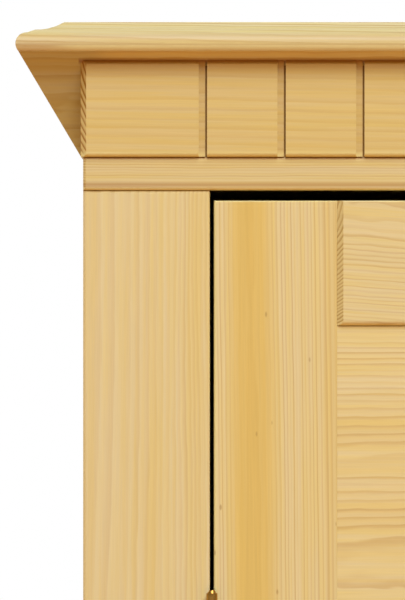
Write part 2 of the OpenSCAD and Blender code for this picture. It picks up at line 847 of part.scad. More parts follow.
// A rail with a tenon at each end, proud of the stiles. grooved and rebated say which of its edges, 0 below
// and 1 above, take a wooden panel or the glass.
module door_rail(side, z, h, grooved, rebated) {
    inner = concat(grooved, rebated);
    color(pine)
    in_door(side) translate([door_stile_w, 0, z]) {
        difference() {
            translate([0, -rail_proud, 0]) intersection() {
                linear_extrude(h) bevelled_plan(rail_l, rail_t, rail_bevel_w, rail_proud);
                along_x(rail_l) side_section(rail_t, h, rail_edge_r(0, inner), rail_edge_r(1, inner));
            }
            for (edge = grooved)
                translate([-over, groove_set, edge == 1 ? h - panel_groove : -over])
                    cube([rail_l + 2 * over, tongue_t, panel_groove + over]);
            for (edge = rebated)
                translate([-over, glass_lip, edge == 1 ? h - glass_rebate : -over])
                    cube([rail_l + 2 * over, door_t, glass_rebate + over]);
        }
        translate([-tenon_l, groove_set, tenon_shoulder])
            cube([rail_l + 2 * tenon_l, tongue_t, h - 2 * tenon_shoulder]);
    }
}

// A wooden panel: its field lies between the rails, and its tongue runs in their grooves
module door_panel(side, z, h) {
    reach = panel_groove - panel_play;
    color(pine)
    in_door(side) translate([door_stile_w, 0, z]) {
        translate([0, panel_set, panel_joint])
            cube([rail_l, door_panel_t - panel_set, h - 2 * panel_joint]);
        translate([-reach, groove_set, -reach])
            cube([rail_l + 2 * reach, tongue_t, h + 2 * reach]);
    }
}

module door_glass(side) {
    reach = glass_rebate - glass_play;
    color(clear)
    in_door(side) translate([door_stile_w - reach, glass_lip, glass_z - reach])
        cube([rail_l + 2 * reach, glass_t, glass_h + 2 * reach]);
}

// One glazing bead along X, its outer edge on the X axis, mitred at both ends
module glazing_bead(length) {
    towards_front(bead_t)
        polygon([[bead_joint, 0], [length - bead_joint, 0],
            [length - glass_rebate - bead_joint, glass_rebate], [glass_rebate + bead_joint, glass_rebate]]);
}

// Four mitred beads hold the glass in its rebate from behind
module door_glazing_beads(side) {
    w = rail_l + 2 * glass_rebate;
    h = glass_h + 2 * glass_rebate;
    color(pine)
    in_door(side) translate([door_stile_w - glass_rebate, door_t, glass_z - glass_rebate]) {
        glazing_bead(w);
        translate([w, 0, h]) rotate([0, 180, 0]) glazing_bead(w);
        translate([w, 0, 0]) rotate([0, -90, 0]) glazing_bead(h);
        translate([0, 0, h]) rotate([0, 90, 0]) glazing_bead(h);
    }
}

// Half of the knob's turned section, standing on its foot
module knob_section() {
    head_l = 2 * knob_rim_r;
    neck_z = (knob_l - head_l + knob_foot_edge) / 2;
    neck_r = neck_z - knob_foot_edge;
    flat_r = knob_d / 2 - knob_rim_r;
    difference() {
        square([knob_foot_d / 2, knob_l - head_l]);
        translate([knob_neck_r + neck_r, neck_z]) circle(neck_r);
    }
    translate([flat_r, knob_l - knob_dome_rise - knob_rim_r]) circle(knob_rim_r);
    intersection() {
        translate([0, knob_l - head_l - knob_dome_rise]) square([flat_r, head_l + knob_dome_rise]);
        translate([0, knob_l - knob_dome_r]) circle(knob_dome_r, $fn = 192);
    }
}

module door_knob(side) {
    color(pine_dark)
    in_door(side) translate([knob_x, 0, knob_z]) rotate([90, 0, 0]) difference() {
        rotate_extrude() knob_section();
        translate([0, 0, -over]) cylinder(r = knob_screw_d / 2 + run_fit, h = knob_hole_l + over);
    }
}

// The steel plate on the back of a meeting stile, opposite its catch
module door_catch_plate(side) {
    color(steel)
    on_side(side)
    difference() {
        translate([-catch_x - catch_w / 2 + catch_ear_w, face_y + door_t, plate_top - plate_h])
            cube([catch_w - 2 * catch_ear_w, plate_t, plate_h]);
        translate([door_x, face_y, door_z]) plate_screw_hole();
    }
}

module plate_screw_hole() {
    translate([-catch_x - door_x, door_t + plate_t + over, plate_top - plate_h / 2 - door_z])
        rotate([90, 0, 0]) cylinder(r = catch_screw_r + run_fit, h = catch_screw_l + over + run_fit);
}

// Screws of a door: hinge screws, the knob's screw and the catch plate's screw
module door_screws(side) {
    head_r = knob_screw_d / 2 + knob_screw_head_h;
    color(steel) {
        on_side(side) translate([pin_x + leaf_near, 0, 0]) hinge_screws();
        in_door(side) {
            translate([knob_x, door_t, knob_z]) rotate([90, 0, 0]) {
                cylinder(r1 = head_r, r2 = knob_screw_d / 2, h = knob_screw_head_h);
                cylinder(d = knob_screw_d, h = door_t + knob_hole_l - knob_tip_room);
            }
            translate([-catch_x - door_x, door_t + plate_t, plate_top - plate_h / 2 - door_z])
                rotate([90, 0, 0]) cylinder(r = catch_screw_r, h = catch_screw_l);
        }
    }
}

crown_top_board();
crown_front_flare();
crown_side_flare(LEFT);  // crown_side_flare_left
crown_side_flare(RIGHT);  // crown_side_flare_right
crown_back_rail();
crown_glue_blocks();
frieze_board();
top_panel();
bottom_panel();
side_panel(LEFT);  // side_panel_left
side_panel(RIGHT);  // side_panel_right
face_stile(LEFT);  // face_stile_left
face_stile(RIGHT);  // face_stile_right
back_board(0);  // back_board_1
back_board(1);  // back_board_2
back_board(2);  // back_board_3
back_board(3);  // back_board_4
wall_fixing_rail();
plinth_front();
plinth_side(LEFT);  // plinth_side_left
plinth_side(RIGHT);  // plinth_side_right
plinth_back();
carcass_dowels();
shelf(1);  // shelf_1
shelf(2);  // shelf_2
shelf(3);  // shelf_3
shelf(4);  // shelf_4
shelf_pins();
magnetic_catches();
hinge_pins();
frame_hinge_leaves();
frame_screws();
door_hinge_stile(LEFT);  // left_door_hinge_stile
door_meeting_stile(LEFT);  // left_door_meeting_stile
door_rail(LEFT, top_rail_z, top_rail_h, [0], []);  // left_door_top_rail
door_rail(LEFT, upper_rail_z, inner_rail_h, [1], [0]);  // left_door_upper_rail
door_rail(LEFT, lower_rail_z, inner_rail_h, [0], [1]);  // left_door_lower_rail
door_rail(LEFT, 0, bottom_rail_h, [1], []);  // left_door_bottom_rail
door_panel(LEFT, upper_panel_z, upper_panel_h);  // left_door_upper_panel
door_panel(LEFT, lower_panel_z, lower_panel_h);  // left_door_lower_panel
door_glass(LEFT);  // left_door_glass
door_glazing_beads(LEFT);  // left_door_glazing_beads
door_knob(LEFT);  // left_door_knob
door_hinge_leaves(LEFT);  // left_door_hinge_leaves
door_screws(LEFT);  // left_door_screws
door_catch_plate(LEFT);  // left_door_catch_plate
door_hinge_stile(RIGHT);  // right_door_hinge_stile
door_meeting_stile(RIGHT);  // right_door_meeting_stile
door_rail(RIGHT, top_rail_z, top_rail_h, [0], []);  // right_door_top_rail
door_rail(RIGHT, upper_rail_z, inner_rail_h, [1], [0]);  // right_door_upper_rail
door_rail(RIGHT, lower_rail_z, inner_rail_h, [0], [1]);  // right_door_lower_rail
door_rail(RIGHT, 0, bottom_rail_h, [1], []);  // right_door_bottom_rail
door_panel(RIGHT, upper_panel_z, upper_panel_h);  // right_door_upper_panel
door_panel(RIGHT, lower_panel_z, lower_panel_h);  // right_door_lower_panel
door_glass(RIGHT);  // right_door_glass
door_glazing_beads(RIGHT);  // right_door_glazing_beads
door_knob(RIGHT);  // right_door_knob
door_hinge_leaves(RIGHT);  // right_door_hinge_leaves
door_screws(RIGHT);  // right_door_screws
door_catch_plate(RIGHT);  // right_door_catch_plate
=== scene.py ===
"""Looks of the pine display cabinet: solid-wood grain, brass, glass, lights and camera in the fixed frame."""

import logging
import math
from dataclasses import dataclass, field
from enum import Enum
from typing import Mapping, Sequence, Union

import bpy
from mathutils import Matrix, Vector


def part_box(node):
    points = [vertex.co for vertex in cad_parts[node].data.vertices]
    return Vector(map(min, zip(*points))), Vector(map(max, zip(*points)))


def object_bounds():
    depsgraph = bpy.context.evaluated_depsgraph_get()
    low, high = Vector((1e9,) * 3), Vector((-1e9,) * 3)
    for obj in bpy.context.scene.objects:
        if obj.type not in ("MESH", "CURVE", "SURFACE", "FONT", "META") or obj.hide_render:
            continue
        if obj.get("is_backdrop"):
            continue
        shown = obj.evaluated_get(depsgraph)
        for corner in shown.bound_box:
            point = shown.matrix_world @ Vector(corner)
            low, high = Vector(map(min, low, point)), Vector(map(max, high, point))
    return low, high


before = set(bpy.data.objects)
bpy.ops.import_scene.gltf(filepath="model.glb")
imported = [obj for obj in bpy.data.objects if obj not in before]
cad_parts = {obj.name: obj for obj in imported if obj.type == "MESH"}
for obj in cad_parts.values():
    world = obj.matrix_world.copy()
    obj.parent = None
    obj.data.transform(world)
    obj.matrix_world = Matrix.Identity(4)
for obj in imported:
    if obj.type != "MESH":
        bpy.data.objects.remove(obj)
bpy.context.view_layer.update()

LOG = logging.getLogger("display_cabinet")
MM = 0.001  # one millimetre, in metres
PHOTO_SIZE = (405, 600)  # width and height of the photograph, in pixels

Colour = tuple[float, float, float]
Pair = tuple[float, float]
Triple = tuple[float, float, float]

WHITE: Colour = (1.0, 1.0, 1.0)
TOE_END = 0.04045  # up to here a screen's curve is a straight line
TOE_SLOPE = 12.92
CURVE_OFFSET = 0.055
CURVE_POWER = 2.4


def linear(red: int, green: int, blue: int) -> Colour:
    """Turns a colour as it looks on a screen into the shader's linear values.

    Args:
        red: Red, from 0 to 255.
        green: Green, from 0 to 255.
        blue: Blue, from 0 to 255.

    Returns:
        The same colour in linear light.
    """
    def channel(level: int) -> float:
        """Undoes the screen's curve for one channel.

        Args:
            level: The channel, from 0 to 255.

        Returns:
            Its linear value, from 0 to 1.
        """
        share = level / 255
        if share <= TOE_END:
            return share / TOE_SLOPE
        return ((share + CURVE_OFFSET) / (1 + CURVE_OFFSET)) ** CURVE_POWER

    return channel(red), channel(green), channel(blue)


class Grain(Enum):
    """The row axis that a board's grain follows."""

    ACROSS = 0
    DEPTH = 1
    UPRIGHT = 2


class Blend(Enum):
    """How two colours are mixed."""

    MIX = "MIX"
    MULTIPLY = "MULTIPLY"


class Num:
    """A number in a shader. Its operators add Math nodes."""

    def __init__(self, graph: "Graph", socket: bpy.types.NodeSocket) -> None:
        """Wraps an output socket of the graph."""
        self.graph = graph
        self.socket = socket

    def __add__(self, other: "Number") -> "Num":
        """Adds."""
        return self.graph.maths("ADD", self, other)

    def __radd__(self, other: "Number") -> "Num":
        """Adds, with the plain number first."""
        return self.graph.maths("ADD", other, self)

    def __sub__(self, other: "Number") -> "Num":
        """Subtracts."""
        return self.graph.maths("SUBTRACT", self, other)

    def __rsub__(self, other: "Number") -> "Num":
        """Subtracts from a plain number."""
        return self.graph.maths("SUBTRACT", other, self)

    def __mul__(self, other: "Number") -> "Num":
        """Multiplies."""
        return self.graph.maths("MULTIPLY", self, other)

    def __rmul__(self, other: "Number") -> "Num":
        """Multiplies, with the plain number first."""
        return self.graph.maths("MULTIPLY", other, self)

    def __truediv__(self, other: "Number") -> "Num":
        """Divides."""
        return self.graph.maths("DIVIDE", self, other)

    def __abs__(self) -> "Num":
        """Drops the sign."""
        return self.graph.maths("ABSOLUTE", self)

    def root(self) -> "Num":
        """Square root."""
        return self.graph.maths("SQRT", self)

    def whole(self) -> "Num":
        """The whole part, rounded down."""
        return self.graph.maths("FLOOR", self)

    def part(self) -> "Num":
        """What is left above the whole part."""
        return self.graph.maths("FRACT", self)

    def above(self, limit: float) -> "Num":
        """One where the number is above the limit, and zero elsewhere."""
        return self.graph.maths("GREATER_THAN", self, limit)

    def ease(self, low: float, high: float, start: float = 0.0, end: float = 1.0) -> "Num":
        """Goes smoothly from start to end.

        Args:
            low: Where the change starts.
            high: Where the change ends.
            start: The result at and below low.
            end: The result at and above high.

        Returns:
            The eased number.
        """
        node = self.graph.node(
            "ShaderNodeMapRange", {"interpolation_type": "SMOOTHSTEP"},
            {"Value": self, "From Min": low, "From Max": high, "To Min": start, "To Max": end})
        return Num(self.graph, node.outputs["Result"])

    def fall(self, low: float, high: float) -> "Num":
        """Goes smoothly from one at low to zero at high."""
        return self.ease(low, high, 1.0, 0.0)


Number = Union[Num, float]
Value = Union[Num, bpy.types.NodeSocket, float, Sequence[float]]


class Graph:
    """The node tree of a material or of the world."""

    def __init__(self, owner: bpy.types.Material | bpy.types.World) -> None:
        """Empties the owner's tree.

        Args:
            owner: The material or world that the nodes belong to.
        """
        owner.use_nodes = True
        self.owner = owner
        self.tree = owner.node_tree
        self.tree.nodes.clear()

    def feed(self, socket: bpy.types.NodeSocket, value: Value) -> None:
        """Links a value to a socket, or sets it there if it is plain.

        Args:
            socket: The input to feed.
            value: A shader number, an output socket, or plain numbers.
        """
        if isinstance(value, Num):
            self.tree.links.new(value.socket, socket)
        elif isinstance(value, bpy.types.NodeSocket):
            self.tree.links.new(value, socket)
        else:
            socket.default_value = value

    def node(
        self, kind: str, settings: Mapping[str, object] | None = None,
        values: Mapping[str | int, Value] | None = None,
    ) -> bpy.types.Node:
        """Adds a node.

        Args:
            kind: The node's type.
            settings: The node's own settings, which are set first.
            values: What goes into its sockets, by name or index.

        Returns:
            The new node.
        """
        node = self.tree.nodes.new(kind)
        for name, setting in (settings or {}).items():
            setattr(node, name, setting)
        for key, value in (values or {}).items():
            self.feed(node.inputs[key], value)
        return node

    def maths(self, operation: str, *values: Number) -> Num:
        """Adds a Math node with the values as its inputs, in order."""
        node = self.node("ShaderNodeMath", {"operation": operation}, dict(enumerate(values)))
        return Num(self, node.outputs[0])

    def vector(self, x: Number, y: Number, z: Number) -> bpy.types.NodeSocket:
        """Joins three numbers to a vector."""
        return self.node("ShaderNodeCombineXYZ", None, {"X": x, "Y": y, "Z": z}).outputs[0]

    def coordinates(self, kind: str) -> tuple[Num, Num, Num]:
        """Splits an output of the Texture Coordinate node.

        Args:
            kind: The output's name.

        Returns:
            Its three numbers.
        """
        coords = self.node("ShaderNodeTexCoord")
        split = self.node("ShaderNodeSeparateXYZ", None, {0: coords.outputs[kind]})
        x, y, z = (Num(self, output) for output in split.outputs)
        return x, y, z

    def place(self) -> tuple[Num, Num, Num]:
        """The point being shaded, in the row frame, in millimetres."""
        x, y, z = (axis / MM for axis in self.coordinates("Object"))
        return x, y, z

    def scaled_place(self, beats: Triple) -> bpy.types.NodeSocket:
        """Where to read a pattern with so many blobs to a millimetre along the three row axes."""
        return self.vector(*(axis * beat for axis, beat in zip(self.place(), beats)))

    def facing(self, axis: int) -> Num:
        """How squarely the surface faces along a row axis, from 0 to 1."""
        return abs(self.coordinates("Normal")[axis])

    def noise(self, vector: Value, detail: float = 2.0, rough: float = 0.5) -> Num:
        """Smooth noise about 0.5, one blob to a unit.

        Args:
            vector: Where to read the noise.
            detail: How many finer layers it has.
            rough: How strong the finer layers are.

        Returns:
            The noise.
        """
        node = self.node(
            "ShaderNodeTexNoise", {"noise_dimensions": "3D"},
            {"Vector": vector, "Scale": 1.0, "Detail": detail, "Roughness": rough})
        return Num(self, node.outputs[0])

    def chance(self, value: Number) -> Num:
        """A random number from 0 to 1 that is the same wherever value is the same."""
        node = self.node("ShaderNodeTexWhiteNoise", {"noise_dimensions": "1D"}, {"W": value})
        return Num(self, node.outputs["Value"])

    def mix(
        self, factor: Number, first: Value, second: Value, blend: Blend = Blend.MIX,
    ) -> bpy.types.NodeSocket:
        """Mixes two colours.

        Args:
            factor: How much of the second colour shows.
            first: The first colour.
            second: The second colour.
            blend: How they are mixed.

        Returns:
            The mixed colour.
        """
        ends = [(*c, 1.0) if isinstance(c, tuple) else c for c in (first, second)]
        node = self.node(
            "ShaderNodeMix", {"data_type": "RGBA", "blend_type": blend.value},
            {0: factor, 6: ends[0], 7: ends[1]})
        return node.outputs[2]

    def surface(self, values: Mapping[str, Value]) -> bpy.types.Material:
        """Ends the graph with a Principled shader.

        Args:
            values: What goes into the shader's sockets.

        Returns:
            The finished material.
        """
        shader = self.node("ShaderNodeBsdfPrincipled", None, values)
        self.node("ShaderNodeOutputMaterial", None, {"Surface": shader.outputs[0]})
        return self.owner

    def bump(self, height: Num, depth_mm: float) -> bpy.types.NodeSocket:
        """Turns a height from 0 to 1 into a surface normal. A height of 1 stands depth_mm high."""
        return self.node("ShaderNodeBump", None, {"Height": height, "Distance": depth_mm * MM}).outputs[0]


PAINTED_SHADE = linear(170, 118, 52)  # painted shade: a dark colour laid where shade falls along joints, under edges and in grooves
PAINTED_LIGHT = linear(247, 249, 190)  # painted light: a paler colour laid on rounded edges as light and highlights


class Side(Enum):
    """An edge of a board: the row axis across it, and whether it lies up or down that axis."""

    TOP = (2, 1)
    LEFT = (0, -1)
    RIGHT = (0, 1)


@dataclass(frozen=True)
class PaintedBand:
    """A band along a board with painted shade or painted light. Lengths are in millimetres."""

    inward: float  # from the board's edge in to the line
    reach: float  # how far its colour fades out to both sides
    strength: float = 0.9
    colour: Colour = PAINTED_SHADE
    side: Side = Side.TOP
    short: float = 0.0  # how far it ends before the board's left and right ends
    fade: float = 0.0  # how softly it ends there, from 0 to 1


@dataclass(frozen=True)
class Sawn:
    """How a board was sawn from its log. Lengths are in millimetres."""

    grain: Grain
    heart: Pair  # from the board's middle to the log's heart, on the two axes across the grain
    ring: float  # distance from one ring to the next
    slowing: float = 0.0  # how much closer rings get outwards, in rings per square millimetre
    drift: Pair = (0.0, 0.0)  # how far the heart moves aside per unit along the grain
    wander: float = 1.2  # how far rings wave about
    ripple: float = 0.9  # how far rings ripple at a shorter beat
    contrast: float = 0.5  # strength of the rings
    crisp: float = 0.45  # share of a ring before its dark wood starts
    tone: float = 1.0  # lightness of the whole board
    hue: Colour = WHITE  # how the board's colour differs from the usual
    glow: float = 0.5  # share of the warmer colour
    heartwood: float = 0.0  # radius of the warmer wood round the heart, or zero
    butt: float = 0.6  # strength of the rings on the end grain
    # bands of painted shade and painted light
    painted_bands: tuple[PaintedBand, ...] = ()
    groove: float = 0.0  # how deep behind the board's front grooves are painted darker as shade, or zero
    shaded_ends: float = 0.0  # length at the left and right ends that is painted darker as shade, or zero
    specks: float = 0.0  # strength of resin specks
    stave: float = 0.0  # width of the strips that a wide board is glued up from, or zero
    joint: float = 0.0  # from the board's middle to one of the glued joints
    step: float = 0.0  # how far the heart moves from one strip to the next
    seed: float = 0.0


@dataclass(frozen=True)
class Beat:
    """How often a pattern in the wood repeats, in blobs to a millimetre."""

    along: float  # along the grain
    across: float  # across the grain


FIBRE = Beat(0.03, 1.5)
STREAK = Beat(0.01, 0.35)
PATCH = Beat(0.0016, 0.045)  # broad patches of warmer wood
SWAY = Beat(0.0035, 0.02)  # how the log's heart strays
BEND = Beat(0.018, 0.12)  # long bends of the rings
RIPPLE = Beat(0.055, 0.2)  # short ripples of the rings
SPECK = Beat(0.045, 0.11)  # resin specks


@dataclass(frozen=True)
class Rings:
    """The yearly rings at the point being shaded."""

    radius: Num  # distance from the heart, in millimetres
    within: Num  # share of its ring that lies nearer the heart
    year: Num  # number of its ring
    core: Number  # one in the warmer wood round the heart, zero outside it


@dataclass(frozen=True)
class Timber:
    """The log that a board was sawn from, and where in it the point being shaded grew, in millimetres."""

    graph: Graph
    sawn: Sawn
    along: Num  # along the grain, from the board's middle
    aside: tuple[Num, Num]  # across the grain, from the heart
    strip: Number  # number of the glued strip

    @classmethod
    def of(cls, graph: Graph, sawn: Sawn, middle: Vector) -> "Timber":
        """Finds where in its log the point being shaded grew.

        Args:
            graph: The material's graph.
            sawn: How the board was sawn.
            middle: The middle of the board, in metres.

        Returns:
            The log with that point.
        """
        place = graph.place()
        axis = sawn.grain.value
        along = place[axis] - middle[axis] / MM
        across = [place[other] - middle[other] / MM for other in range(3) if other != axis]
        aside = [across[i] - sawn.heart[i] - sawn.drift[i] * along for i in range(2)]
        strip: Number = 0.0
        if sawn.stave:
            strip = ((across[1] - sawn.joint) / sawn.stave).whole()
            aside[1] = aside[1] - strip * sawn.step
        return cls(graph, sawn, along, (aside[0], aside[1]), strip)

    def at(self, beat: Beat, shift: Triple) -> bpy.types.NodeSocket:
        """Where to read a pattern, moved by blobs along the grain and on the two axes across it."""
        places = (self.along * beat.along, self.aside[0] * beat.across, self.aside[1] * beat.across)
        return self.graph.vector(*(place + move if move else place for place, move in zip(places, shift)))

    def stray(self, reach: float, beat: Beat, shift: Triple, detail: float = 1.0) -> Num:
        """How far the wood lies off its place there, up to half the reach either way, in millimetres."""
        return reach * (self.graph.noise(self.at(beat, shift), detail) - 0.5)

    def rings(self) -> Rings:
        """Counts the rings from the heart out to the point being shaded.

        Returns:
            The rings there.
        """
        sawn = self.sawn
        apart = 31.7  # keeps the heart's two ways of straying apart
        spell = 2.7  # rings over which their spacing changes
        uneven = 0.9  # how far they are moved by that, as a share of a ring
        strip_years = 17.0  # how far the years differ from one glued strip to the next
        core_edge = (1.5, 2.0)  # how far inside and outside its radius the heartwood fades

        near = self.aside[0] + self.stray(4 * sawn.wander, SWAY, (sawn.seed, 0.0, 0.0), detail=1.5)
        far = self.aside[1] + self.stray(4 * sawn.wander, SWAY, (0.0, apart, sawn.seed), detail=1.5)
        radius = (near * near + far * far).root() + self.stray(0.5 * sawn.wander, BEND, (0.0, sawn.seed, 0.0))
        radius = radius + self.stray(sawn.ripple, RIPPLE, (0.0, sawn.seed, 0.0))
        spells = self.graph.vector(radius / (sawn.ring * spell), sawn.seed, 0.0)
        turns = radius / sawn.ring + uneven * self.graph.noise(spells, detail=1.0)
        if sawn.slowing:
            beyond = radius - math.hypot(*sawn.heart)
            turns = turns + sawn.slowing * beyond * beyond
        turns = turns + self.strip * strip_years
        core: Number = 0.0
        if sawn.heartwood:
            core = radius.fall(sawn.heartwood - core_edge[0], sawn.heartwood + core_edge[1])
        return Rings(radius, turns.part(), turns.whole() + sawn.seed, core)

    def specks(self) -> Num:
        """Strews short dark resin specks along the grain.

        Returns:
            How strongly one shows, from 0 to 1.
        """
        size = (0.03, 0.1)  # where a speck starts to fade and where it ends, in blobs
        rarity = 0.45  # share of the places for a speck that stay empty
        spot = self.graph.node(
            "ShaderNodeTexVoronoi", {"feature": "F1"},
            {"Vector": self.at(SPECK, (self.sawn.seed, 0.0, 0.0)), "Scale": 1.0})
        picked = self.graph.node("ShaderNodeSeparateColor", None, {0: spot.outputs["Color"]})
        chosen = Num(self.graph, picked.outputs[0]).above(rarity)
        return Num(self.graph, spot.outputs["Distance"]).fall(*size) * chosen * self.sawn.specks


@dataclass(frozen=True)
class ShadePaint:
    """Painted shade and painted light laid over a board's colour. Lengths are in millimetres."""

    end_edge: float = 1.0  # over which the end of a hard band fades out
    end_fade: float = 22.0  # over which the end of a soft band or a shaded end fades out
    end_shade: Colour = (0.79, 0.82, 0.87)  # painted shade: how much darker a board's ends are
    groove_floor: float = 0.2  # painted shade: how much darker a groove's floor is
    groove_slot: float = 0.5  # painted shade: how much darker still the slot beside it is
    groove_edge: float = 0.3  # over which it darkens
    floor_rise: float = 0.5  # how far the groove's floor lies in front of the slot's beginning
    bare_end: Pair = (2.6, 3.4)  # from the board's end, where grooves start to darken and are dark

    def over(
        self, graph: Graph, sawn: Sawn, box: tuple[Vector, Vector], colour: bpy.types.NodeSocket,
    ) -> bpy.types.NodeSocket:
        """Paints shade and light over a board's colour.

        Args:
            graph: The material's graph.
            sawn: How the board was sawn.
            box: The board's lowest and highest corners, in metres.
            colour: The wood's colour.

        Returns:
            The colour with painted shade and painted light.
        """
        low, high = box
        place = graph.place()
        inside = (high.x - low.x) / 2 / MM - abs(place[0] - (high.x + low.x) / 2 / MM)
        # bands of painted shade and painted light
        for band in sawn.painted_bands:
            axis, sign = band.side.value
            edge = (high if sign > 0 else low)[axis] / MM
            away = abs(place[axis] - (edge - sign * band.inward))
            mask = away.ease(0.0, band.reach, band.strength, 0.0)
            if band.short:
                mask = mask * inside.ease(band.short - self.end_edge, band.short + self.end_fade * band.fade)
            colour = graph.mix(mask, colour, band.colour)
        # painted shade: grooves darken towards their floors and slots
        if sawn.groove:
            depth = place[1] - low.y / MM
            floor = sawn.groove - self.floor_rise
            deep = self.groove_slot * depth.ease(sawn.groove, sawn.groove + self.groove_edge)
            deep = deep + self.groove_floor * depth.ease(floor, floor + self.groove_edge)
            colour = graph.mix(deep * inside.ease(*self.bare_end), colour, PAINTED_SHADE)
        # painted shade: the board's ends are darker
        if sawn.shaded_ends:
            mask = inside.fall(sawn.shaded_ends, sawn.shaded_ends + self.end_fade)
            colour = graph.mix(mask, colour, self.end_shade, Blend.MULTIPLY)
        return colour


@dataclass(frozen=True)
class PineFinish:
    """Lacquered pine. Its colours are linear."""

    early: Colour = linear(232, 225, 181)  # pale wood that grows first in a year
    honey: Colour = linear(229, 218, 153)  # yellower pale wood
    warm: Colour = linear(227, 206, 124)  # deeper orange patches
    late: Colour = linear(198, 168, 106)  # dark edge of a ring
    speck: Colour = linear(158, 124, 66)  # resin specks
    end_early: Colour = linear(226, 214, 152)  # end grain soaks up more lacquer
    end_late: Colour = linear(172, 132, 50)
    # painted shade and painted light laid over the wood's colour
    shade_paint: ShadePaint = ShadePaint()
    roughness: float = 0.46
    gloss: float = 0.3
    coat: float = 0.06
    coat_roughness: float = 0.35
    late_full: float = 0.88  # share of a ring at which its dark wood is darkest
    late_fall: Pair = (0.9, 1.0)  # shares of a ring between which it turns pale again
    late_least: float = 0.15  # strength of the dark wood in the faintest year
    late_spread: float = 0.85  # how much stronger it is in the strongest year
    late_rough: float = 0.08  # how much rougher dark wood is
    core_calm: float = 0.85  # how much of the dark wood is lost in the heartwood
    core_warmth: float = 0.9
    end_turn: Pair = (0.05, 0.3)  # squareness to the grain at which end grain starts to show and is full
    end_rough: float = 0.12  # how much rougher end grain is
    fibre_shade: float = 0.13  # how far fibres lighten and darken the wood
    streak_shade: float = 0.12  # how far streaks do
    fibre_bump: float = 0.6  # share of the relief that comes from fibres
    late_bump: float = 0.4  # share of it that comes from the rings
    bump_mm: float = 0.05

    def material(self, name: str, sawn: Sawn) -> bpy.types.Material:
        """Makes the wood of one board.

        The wood is solid: rings run through the board round the heart of its log, so faces, rounded edges and
        ends show the same rings cut in different directions.

        Args:
            name: The board's node.
            sawn: How the board was sawn.

        Returns:
            The material.
        """
        graph = Graph(bpy.data.materials.new(f"pine_{name}"))
        low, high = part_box(name)
        timber = Timber.of(graph, sawn, (low + high) / 2)
        rings = timber.rings()
        late = self.late_wood(timber, rings)
        fibre = graph.noise(timber.at(FIBRE, (0.0, sawn.seed, 0.0)), rough=0.6)
        streak = graph.noise(timber.at(STREAK, (sawn.seed, 0.0, 0.0)))

        face = self.face(timber, rings, streak)
        face = graph.mix(late * sawn.contrast, face, self.late)
        end = graph.facing(sawn.grain.value).ease(*self.end_turn)
        colour = graph.mix(end, face, self.end_grain(timber, rings))
        # lays painted shade and painted light over the wood
        colour = self.shade_paint.over(graph, sawn, (low, high), colour)
        if sawn.specks:
            colour = graph.mix(timber.specks(), colour, self.speck)
        lightness = 1.0 + self.fibre_shade * (fibre - 0.5) + self.streak_shade * (streak - 0.5)
        shade = graph.vector(*(lightness * (sawn.tone * channel) for channel in sawn.hue))
        return graph.surface({
            "Base Color": graph.mix(1.0, colour, shade, Blend.MULTIPLY),
            "Roughness": self.roughness + self.late_rough * (late - 0.5) + self.end_rough * end,
            "Specular IOR Level": self.gloss,
            "Coat Weight": self.coat,
            "Coat Roughness": self.coat_roughness,
            "Normal": graph.bump(self.fibre_bump * fibre + self.late_bump * late, self.bump_mm),
        })

    def late_wood(self, timber: Timber, rings: Rings) -> Num:
        """How dark a ring is there: darker towards its outer edge, and in some years more than in others.

        Args:
            timber: The board's log.
            rings: The rings.

        Returns:
            The darkness, from 0 to 1.
        """
        late = rings.within.ease(timber.sawn.crisp, self.late_full) * rings.within.fall(*self.late_fall)
        late = late * (self.late_least + self.late_spread * timber.graph.chance(rings.year))
        if timber.sawn.heartwood:
            late = late * (1.0 - self.core_calm * rings.core)
        return late

    def face(self, timber: Timber, rings: Rings, streak: Num) -> bpy.types.NodeSocket:
        """The colour along the grain, without the rings' dark edges.

        Args:
            timber: The board's log.
            rings: The rings.
            streak: Noise that is long along the grain.

        Returns:
            The colour.
        """
        graph = timber.graph
        glow = timber.sawn.glow
        streak_edge = (0.35, 0.65)  # noise at which honey wood starts and is full
        streak_part = 0.6  # how much of the honey comes from streaks
        year_part = 0.4  # how much of it comes from the year
        patch_edge = (0.62 - 0.4 * glow, 1.02 - 0.4 * glow)  # noise at which a warm patch starts and is full
        patch_part = 0.8  # how much of the warmth comes from patches
        ripe_part = 0.3 * glow  # how much of it comes with each ring's ripening
        ripe_full = 0.85  # share of a ring at which it is ripe
        draw = 0.5  # picks another random number for the same year

        honey = streak.ease(*streak_edge) * streak_part + year_part * graph.chance(rings.year + draw)
        pale = graph.mix(honey, self.early, self.honey)
        patch = graph.noise(timber.at(PATCH, (timber.sawn.seed, 0.0, 0.0)))
        ripe = rings.within.ease(0.0, ripe_full) * rings.within.fall(*self.late_fall)
        warmth = patch.ease(*patch_edge) * patch_part + ripe_part * ripe
        if timber.sawn.heartwood:
            warmth = warmth + self.core_warmth * rings.core
        return graph.mix(warmth, pale, self.warm)

    def end_grain(self, timber: Timber, rings: Rings) -> bpy.types.NodeSocket:
        """The colour across the grain.

        Args:
            timber: The board's log.
            rings: The rings.

        Returns:
            The colour.
        """
        graph = timber.graph
        rise = (0.35, 0.85)  # shares of a ring between which it darkens
        fall = (0.92, 1.0)  # shares between which it turns pale again
        least = 0.5  # strength of the faintest year
        draw = 0.3  # picks another random number for the same year

        dark = rings.within.ease(*rise) * rings.within.fall(*fall) * timber.sawn.butt
        dark = dark * (least + (1.0 - least) * graph.chance(rings.year + draw))
        return graph.mix(dark, self.end_early, self.end_late)


